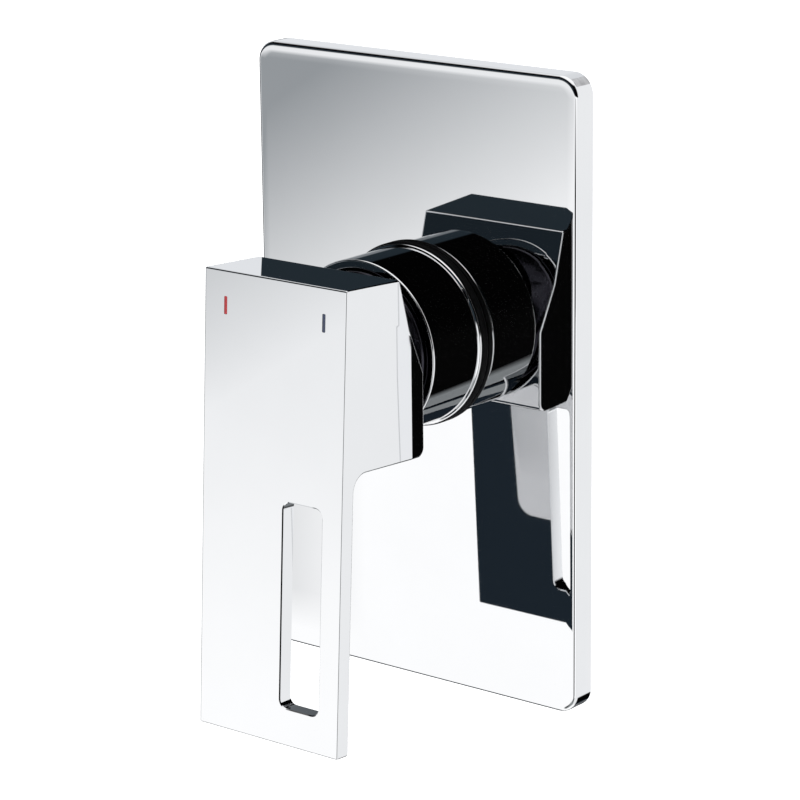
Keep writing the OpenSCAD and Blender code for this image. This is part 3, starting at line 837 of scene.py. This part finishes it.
    def mark_box(self, node, grow=0.0, lift=0.0):
        """Shape of a temperature mark; grow widens it and lift raises its face."""
        s = self.s
        lo, hi = corners(node)
        x = (lo.x + hi.x) / 2
        w = hi.x - lo.x + 2 * grow
        z = (lo.z + hi.z) / 2
        centre = (z + s.mark_depth / 2 * math.sin(self.tilt)) / math.cos(self.tilt)
        points = rounded_outline(w, MARK_HEIGHT + 2 * grow, min(w * 0.3, 0.3 * MM), 2, 4)
        place = lambda a, b, deep: self.at(x + a, centre + b, deep)
        return prism(points, -lift, s.mark_depth, place)


class MIXER_OT_lever(bpy.types.Operator):
    """Builds the lever with its slot, hollow and socket, and the two temperature marks"""

    bl_idname = "mixer.lever"
    bl_label = "Lever and marks"

    def execute(self, context):
        form = LeverForm(context.scene.mixer_sizes)
        mesh = combine(
            form.body(),
            [
                ("DIFFERENCE", form.pocket_tool()),
                ("UNION", form.boss()),
                ("DIFFERENCE", form.socket()),
                ("DIFFERENCE", form.screw_hole()),
                ("DIFFERENCE", form.slot_tool()),
                ("DIFFERENCE", form.mark_box("hot_mark", MARK_PLAY, OVERRUN / 2)),
                ("DIFFERENCE", form.mark_box("cold_mark", MARK_PLAY, OVERRUN / 2)),
            ],
        )
        mesh.shade_smooth()
        mesh.set_sharp_from_angle(angle=math.radians(SHARP_DEG))
        form.crease_bands(mesh)
        mesh = even_normals(mesh)
        block = keep("lever_block", mesh, finish("chrome"), "lever", ["lever"])
        # The hollow gets near-black metal as painted shade.
        block.data.materials.append(finish("dark"))
        form.mark_hollow(block.data)
        for key, slot in (("hot", "red_mark"), ("cold", "blue_mark")):
            node, name = key + "_mark", key + "_dash"
            dash = mesh_of(form.mark_box(node, 0.0, -MARK_SUNK), name, sharp_deg=40.0)
            keep(name, dash, finish(key), "lever", [node])
        dress("stem", "steel")
        dress("grub_screw", "steel")
        return {"FINISHED"}


# ---- carried-over nodes


def dress(node, key):
    """Gives a carried-over node its finish."""
    thing = frame["nodes"][node]
    thing.data.materials.clear()
    thing.data.materials.append(finish(key))
    for face in thing.data.polygons:
        face.material_index = 0


class MIXER_OT_cartridge(bpy.types.Operator):
    """Finishes the cartridge, its nut and its seals"""

    bl_idname = "mixer.cartridge"
    bl_label = "Cartridge"

    def execute(self, context):
        for key, nodes in (
            ("rubber", ("sleeve_o_ring", "base_seals", "disc_seals", "rotor_o_ring")),
            ("machined", ("retaining_nut",)),
            ("white", ("cartridge_housing",)),
            ("grey", ("cartridge_base", "rotor")),
            ("ceramic", ("fixed_disc", "moving_disc")),
            ("amber", ("disc_carrier", "thrust_washer")),
            ("red", ("limit_ring",)),
            ("steel", ("pivot_pin",)),
        ):
            for node in nodes:
                dress(node, key)
        return {"FINISHED"}


PORT_RADIUS = 9.3 * MM
TURN_RADIUS = 0.35 * MM
TURNS = 7
FIRST_TURN = 1.4 * MM


def thread_tree(pitch):
    """Node tree that stacks rounded thread turns along Z."""
    tree = bpy.data.node_groups.new("thread turns", "GeometryNodeTree")
    face = tree.interface
    face.new_socket("Geometry", in_out="INPUT", socket_type="NodeSocketGeometry")
    for name, value in (
        ("Bore radius", PORT_RADIUS), ("Pitch", pitch), ("Turn radius", TURN_RADIUS),
    ):
        face.new_socket(name, in_out="INPUT", socket_type="NodeSocketFloat").default_value = value
    face.new_socket("Turns", in_out="INPUT", socket_type="NodeSocketInt").default_value = TURNS
    face.new_socket("Material", in_out="INPUT", socket_type="NodeSocketMaterial")
    face.new_socket("Geometry", in_out="OUTPUT", socket_type="NodeSocketGeometry")
    add, link = tree.nodes.new, tree.links.new
    entry, leave = add("NodeGroupInput"), add("NodeGroupOutput")
    path, section = add("GeometryNodeCurvePrimitiveCircle"), add("GeometryNodeCurvePrimitiveCircle")
    path.inputs["Resolution"].default_value = 64
    section.inputs["Resolution"].default_value = 8
    link(entry.outputs["Bore radius"], path.inputs["Radius"])
    link(entry.outputs["Turn radius"], section.inputs["Radius"])
    sweep = add("GeometryNodeCurveToMesh")
    link(path.outputs["Curve"], sweep.inputs["Curve"])
    link(section.outputs["Curve"], sweep.inputs["Profile Curve"])
    stack = add("GeometryNodeMeshLine")
    step = add("ShaderNodeCombineXYZ")
    link(entry.outputs["Pitch"], step.inputs["Z"])
    link(step.outputs["Vector"], stack.inputs["Offset"])
    link(entry.outputs["Turns"], stack.inputs["Count"])
    place = add("GeometryNodeInstanceOnPoints")
    link(stack.outputs["Mesh"], place.inputs["Points"])
    link(sweep.outputs["Mesh"], place.inputs["Instance"])
    real = add("GeometryNodeRealizeInstances")
    link(place.outputs["Instances"], real.inputs["Geometry"])
    paint = add("GeometryNodeSetMaterial")
    link(real.outputs["Geometry"], paint.inputs["Geometry"])
    link(entry.outputs["Material"], paint.inputs["Material"])
    link(paint.outputs["Geometry"], leave.inputs["Geometry"])
    return tree


class MIXER_OT_body(bpy.types.Operator):
    """Finishes the brass body in the wall and adds the turns of its port threads"""

    bl_idname = "mixer.body"
    bl_label = "In-wall body"

    def execute(self, context):
        dress("valve_body", "brass")
        tree = thread_tree(context.scene.mixer_sizes.thread_pitch)
        seed = bpy.data.objects.new("thread_seed", bpy.data.meshes.new("thread_seed"))
        context.scene.collection.objects.link(seed)
        modifier = seed.modifiers.new("turns", "NODES")
        modifier.node_group = tree
        material_key = tree.interface.items_tree["Material"].identifier
        modifier[material_key] = finish("machined")
        context.view_layer.update()
        graph = context.evaluated_depsgraph_get()
        turns = bpy.data.meshes.new_from_object(seed.evaluated_get(graph), depsgraph=graph)
        bpy.data.objects.remove(seed)
        ports = [m for m in frame["record"]["mounts"] if m["kind"] == "threaded_hole"]
        bm = bmesh.new()
        for port in ports:
            mouth = Vector(port["pos_m"])
            inward = -Vector(port["axis"]).z
            start = mouth + Vector((0, 0, inward * FIRST_TURN))
            part = bmesh.new()
            part.from_mesh(turns)
            part.transform(Matrix.Translation(start) @ Matrix.Diagonal((1, 1, inward, 1)))
            bmesh.ops.recalc_face_normals(part, faces=part.faces)
            held = bpy.data.meshes.new("held")
            part.to_mesh(held)
            part.free()
            bm.from_mesh(held)
            bpy.data.meshes.remove(held)
        mesh = mesh_of(bm, "port_threads", sharp_deg=60.0)
        keep("port_threads", mesh, finish("machined"), "base")
        return {"FINISHED"}


# ---- stage


class Sky:
    """World light made of soft panels placed by azimuth and elevation."""

    def __init__(self, world, ground):
        world.use_nodes = True
        self.tree = world.node_tree
        self.tree.nodes.clear()
        add = self.tree.nodes.new
        split = add("ShaderNodeSeparateXYZ")
        self.tree.links.new(add("ShaderNodeTexCoord").outputs["Generated"], split.inputs["Vector"])
        x, y, z = split.outputs
        self.azimuth = maths(self.tree, "ARCTAN2", x, maths(self.tree, "MULTIPLY", y, -1.0))
        self.elevation = maths(self.tree, "ARCSINE", z)
        self.colour = ground

    def ramp(self, value, start, end, soft):
        """1 between start and end, in degrees, with soft shoulders."""
        pieces = []
        for edge, before, after in ((start, 0.0, 1.0), (end, 1.0, 0.0)):
            ends = math.radians(edge - soft / 2), math.radians(edge + soft / 2)
            pieces.append(levels(self.tree, value, *ends, before, after, "SMOOTHSTEP"))
        return maths(self.tree, "MULTIPLY", *pieces)

    def panel(self, azimuth, elevation, rgb, soft):
        """Lays a soft panel over the others; azimuth 0 is out of the wall, 90 to the right."""
        mask = maths(
            self.tree, "MULTIPLY", self.ramp(self.azimuth, *azimuth, soft[0]),
            self.ramp(self.elevation, *elevation, soft[1]),
        )
        mix = self.tree.nodes.new("ShaderNodeMix")
        mix.data_type = "RGBA"
        self.tree.links.new(mask, mix.inputs["Factor"])
        inputs = [s for s in mix.inputs if s.type == "RGBA"]
        if isinstance(self.colour, tuple):
            inputs[0].default_value = (*self.colour, 1.0)
        else:
            self.tree.links.new(self.colour, inputs[0])
        inputs[1].default_value = (*rgb, 1.0)
        self.colour = [s for s in mix.outputs if s.type == "RGBA"][0]

    def finish(self, plain):
        """Shows the panels to everything but the camera, which sees the plain backdrop."""
        add, link = self.tree.nodes.new, self.tree.links.new
        panels, back = add("ShaderNodeBackground"), add("ShaderNodeBackground")
        link(self.colour, panels.inputs["Color"])
        back.inputs["Color"].default_value = (*plain, 1.0)
        mix = add("ShaderNodeMixShader")
        link(add("ShaderNodeLightPath").outputs["Is Camera Ray"], mix.inputs["Fac"])
        link(panels.outputs["Background"], mix.inputs[1])
        link(back.outputs["Background"], mix.inputs[2])
        link(mix.outputs["Shader"], add("ShaderNodeOutputWorld").inputs["Surface"])


WHITE = (1.40, 1.40, 1.40)
PALE = (1.16, 1.17, 1.18)
BRIGHT = (1.65, 1.66, 1.67)
CLOUD = (0.92, 0.94, 0.97)
GREY = (0.36, 0.38, 0.385)
SLATE = (0.0225, 0.034, 0.047)
TEAL = (0.028, 0.041, 0.052)
BLACK = (0.0015, 0.0015, 0.0015)

# azimuth range, elevation range, colour, softness of the two; later panels lie on top
PANELS = (
    ((10, 110), (-95, -2), PALE, (6, 4)),
    ((24, 54), (-32, -2), BRIGHT, (6, 4)),
    ((95, 200), (-95, 60), PALE, (20, 20)),
    ((152, 200), (-52, -27), BLACK, (4, 4)),
    ((150, 168), (29, 39), BLACK, (6, 6)),
    ((-200, -95), (4, 60), CLOUD, (20, 8)),
    ((-200, -62), (-80, 4), SLATE, (20, 8)),
    ((-95, 12), (-1, 22), TEAL, (10, 3)),
    ((-66, 14), (-95, -2), PALE, (6, 4)),
    ((-66, 14), (-95, -12), WHITE, (6, 8)),
    ((-32, 40), (-60, -30), GREY, (6, 6)),
    ((-33, -22), (-38, -27), BLACK, (3, 3)),
    ((-200, 200), (52, 95), WHITE, (1, 12)),
    ((-200, 200), (-95, -64), WHITE, (1, 10)),
)

# Two cards hang in front of the mixer. Outlines are in millimetres to the right of and above
# the lever's axis. A fade is an axis, its start and end in metres, and its strength at both.
CARD_OUT = 150
GREY_CARD = ((-300, -200), (50, -200), (50, 70), (-300, 70))
GREY_GLOW = (0.375, 0.40, 0.42)
GREY_FADES = (("Z", 0.042, 0.054, 1.0, 0.0), ("X", -0.30, -0.22, 0.0, 1.0))
FAINT_FADES = (("X", -0.168, -0.136, 0.28, 0.0), ("Z", -0.162, -0.148, 0.0, 1.0))
GREY_HERE, GREY_X, GREY_Z = 0.61, -0.105, 0.031  # strength at one point of the grey card
GREY_LEFT, GREY_UP, GREY_MOST = 5.5, 8.7, 0.95  # its rise for each metre, and its limit
BLACK_CARD = (
    (60, -260), (150, -260), (156, -90), (158.5, -60), (162.5, -34), (190, -28), (190, 60),
    (60, 60),
)
BLACK_FADES = (
    ("X", 0.060, 0.078, 0.0, 1.0),
    ("X", 0.175, 0.190, 1.0, 0.0),
    ("Z", 0.015, 0.060, 1.0, 0.0),
    ("Z", -0.260, -0.160, 0.0, 1.0),
)


class Card:
    """A flat card in front of the mixer that shines by itself and that only reflections see."""

    def __init__(self, name, base, glow):
        self.look = Finish(name, base, 0.0, 1.0, Specular_IOR_Level=0.0)
        self.look.put("Emission Color", (*glow, 1.0))
        self.look.put("Emission Strength", 1.0)
        split = self.look.add("ShaderNodeSeparateXYZ")
        self.look.join(self.look.place, split.inputs["Vector"])
        self.axes = split.outputs

    def maths(self, operation, *values):
        return maths(self.look.tree, operation, *values)

    def faded(self, fades, value=1.0):
        """Value times all the fades."""
        for axis, *ends in fades:
            value = self.maths("MULTIPLY", value, levels(self.look.tree, self.axes[axis], *ends))
        return value

    def hang(self, scene, name, outline, strength):
        self.look.join(strength, self.look.shader.inputs["Alpha"])
        bm = bmesh.new()
        bm.faces.new([bm.verts.new((x * MM, -CARD_OUT * MM, z * MM)) for x, z in outline])
        card = stage_piece(scene, name, bm, self.look.material)
        for ray in ("camera", "diffuse", "shadow", "transmission"):
            setattr(card, "visible_" + ray, False)


def stage_piece(scene, name, bm, material):
    """Turns a bmesh into a part of the stage."""
    mesh = bpy.data.meshes.new(name)
    bm.to_mesh(mesh)
    bm.free()
    mesh.materials.append(material)
    piece = bpy.data.objects.new(name, mesh)
    scene.collection.objects.link(piece)
    return piece


def hang_grey_card(scene):
    """Shades the plate's upper left, and faintly its left edge, as a card in the studio does."""
    card = Card("grey card", (0.0, 0.0, 0.0), GREY_GLOW)
    x, _, z = card.axes
    left = card.maths("MULTIPLY_ADD", x, -GREY_LEFT, GREY_HERE + GREY_LEFT * GREY_X)
    up = card.maths("MULTIPLY_ADD", z, GREY_UP, -GREY_UP * GREY_Z)
    slope = card.maths("MAXIMUM", card.maths("ADD", left, up), card.faded(FAINT_FADES))
    slope = card.maths("MINIMUM", slope, GREY_MOST)
    card.hang(scene, "grey_card", GREY_CARD, card.faded(GREY_FADES, slope))


def hang_black_card(scene):
    """Darkens the sleeve and the head's back."""
    card = Card("black card", BLACK, BLACK)
    card.hang(scene, "black_card", BLACK_CARD, card.faded(BLACK_FADES))


FLOOR_GLOW = 0.6
FLOOR_LEVEL = -1.1
FLOOR_HALF = 15.0


def lay_floor(scene):
    """A pale floor far below the mixer."""
    pale = scene.mixer_colours.floor
    paint = Finish("pale floor", pale, 0.0, 0.9)
    paint.tint(paint.noise(2.0, 3.0), shade(pale, 0.99), pale)
    paint.put("Emission Color", (1.0, 1.0, 1.0, 1.0))
    paint.put("Emission Strength", FLOOR_GLOW)
    bm = bmesh.new()
    bmesh.ops.create_grid(bm, x_segments=4, y_segments=4, size=FLOOR_HALF)
    bm.transform(Matrix.Translation((0, 0, FLOOR_LEVEL)))
    floor = stage_piece(scene, "floor", bm, paint.material)
    floor.visible_glossy = False


# The photograph's view: focal length and width in its pixels, angles in degrees, metres
PHOTO_WIDTH, FOCAL = 800.0, 3320.0
AZIMUTH, ELEVATION, ROLL = 38.73, 15.335, -0.682
DISTANCE, AIM_X, AIM_Z = 0.9521, -0.01147, -0.02313
SENSOR_MM = 36.0


def place_camera(scene):
    """Camera at the photograph's angle."""
    data = bpy.data.cameras.new("view")
    data.sensor_fit = "HORIZONTAL"
    data.sensor_width = SENSOR_MM
    data.lens = FOCAL / PHOTO_WIDTH * SENSOR_MM
    data.clip_end = 50.0
    camera = bpy.data.objects.new("view", data)
    scene.collection.objects.link(camera)
    az, el, roll = (math.radians(a) for a in (AZIMUTH, ELEVATION, ROLL))
    back = Vector((math.sin(az) * math.cos(el), -math.cos(az) * math.cos(el), math.sin(el)))
    right = (-back).cross(Vector((0, 0, 1))).normalized()
    up = right.cross(-back)
    r = right * math.cos(roll) + up * math.sin(roll)
    u = -right * math.sin(roll) + up * math.cos(roll)
    turn = Matrix((r, u, back)).transposed().to_4x4()
    centre = Vector((AIM_X, 0.0, AIM_Z)) + back * DISTANCE
    camera.matrix_world = Matrix.Translation(centre) @ turn
    scene.camera = camera


class MIXER_OT_stage(bpy.types.Operator):
    """Makes the pale floor, the soft studio light and the camera"""

    bl_idname = "mixer.stage"
    bl_label = "Stage"

    def execute(self, context):
        scene = context.scene
        world = bpy.data.worlds.new("studio")
        scene.world = world
        scene.view_settings.view_transform = "Standard"
        sky = Sky(world, BLACK)
        for panel in PANELS:
            sky.panel(*panel)
        sky.finish((1.0, 1.0, 1.0))
        lay_floor(scene)
        hang_grey_card(scene)
        hang_black_card(scene)
        place_camera(scene)
        return {"FINISHED"}


class MIXER_PT_panel(bpy.types.Panel):
    """Lists the mixer's operators and sizes"""

    bl_idname = "MIXER_PT_panel"
    bl_label = "Shower mixer"
    bl_space_type = "VIEW_3D"
    bl_region_type = "UI"
    bl_category = "Mixer"

    def draw(self, context):
        for step in STEPS:
            self.layout.operator(step.bl_idname)
        for group in (context.scene.mixer_sizes, context.scene.mixer_colours):
            box = self.layout.box()
            for key in group.bl_rna.properties.keys():
                if key not in ("rna_type", "name"):
                    box.prop(group, key)


STEPS = (
    MIXER_OT_stage, MIXER_OT_plate, MIXER_OT_sleeve, MIXER_OT_lever, MIXER_OT_cartridge,
    MIXER_OT_body,
)
CLASSES = (MixerSizes, MixerColours, *STEPS, MIXER_PT_panel)


def register():
    for cls in CLASSES:
        bpy.utils.register_class(cls)
    bpy.types.Scene.mixer_sizes = bpy.props.PointerProperty(type=MixerSizes)
    bpy.types.Scene.mixer_colours = bpy.props.PointerProperty(type=MixerColours)


def unregister():
    del bpy.types.Scene.mixer_colours
    del bpy.types.Scene.mixer_sizes
    for cls in reversed(CLASSES):
        bpy.utils.unregister_class(cls)


def main():
    register()
    for step in STEPS:
        group, name = step.bl_idname.split(".")
        result = getattr(getattr(bpy.ops, group), name)()
        if result != {"FINISHED"}:
            raise RuntimeError(step.bl_label + " did not finish")


if __name__ == "__main__":
    main()
